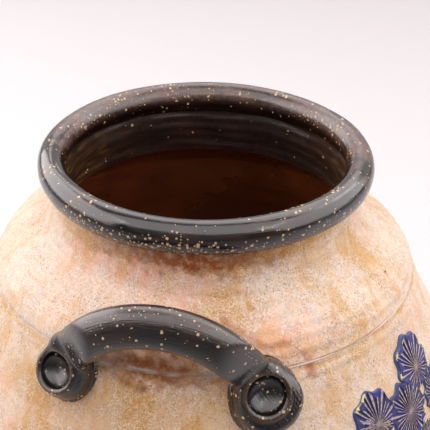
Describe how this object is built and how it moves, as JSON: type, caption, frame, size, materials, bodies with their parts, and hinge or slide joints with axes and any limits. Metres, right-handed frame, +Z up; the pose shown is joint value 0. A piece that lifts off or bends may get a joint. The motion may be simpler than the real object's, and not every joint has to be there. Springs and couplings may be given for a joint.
{
  "type": "ceramic crock fermenter",
  "caption": "Shouldered stoneware fermenting crock with a rolled rim, open mouth, arched lug handles and half-moon weights that lift out.",
  "frame": {"origin": "centre of the foot, on the surface that the crock stands on", "axes": "+Z up along the turning axis; the front handle is centred on -Y and the back handle on +Y"},
  "size_m": [0.2996, 0.2996, 0.345],
  "materials": {
    "salt_glaze": "speckled peach and ochre salt glaze with an orange-peel skin",
    "black_glaze": "glossy black-brown glaze with cream specks",
    "cobalt_slip": "cobalt blue over incised strokes",
    "bare_stoneware": "unglazed, matt"
  },
  "bodies": {
    "crock": {"lower_body": "salt_glaze", "shoulder": "salt_glaze", "neck_collar": "salt_glaze", "rim_roll": "black_glaze", "front_handle_strap": "black_glaze", "front_handle_pad_left": "black_glaze", "front_handle_pad_right": "black_glaze", "back_handle_strap": "black_glaze", "back_handle_pad_left": "black_glaze", "back_handle_pad_right": "black_glaze", "blossom_1": "cobalt_slip", "blossom_2": "cobalt_slip", "blossom_3": "cobalt_slip", "blossom_4": "cobalt_slip", "blossom_5": "cobalt_slip", "blossom_6": "cobalt_slip"},
    "front_weight": {"weight_front": "bare_stoneware"},
    "back_weight": {"weight_back": "bare_stoneware"}
  },
  "joints": [
    {"name": "front_weight_lift", "type": "slide", "parent": "crock", "child": "front_weight", "axis": [0, 0, 1], "range_m": [0, 0.36]},
    {"name": "back_weight_lift", "type": "slide", "parent": "crock", "child": "back_weight", "axis": [0, 0, 1], "range_m": [0, 0.36]}
  ]
}
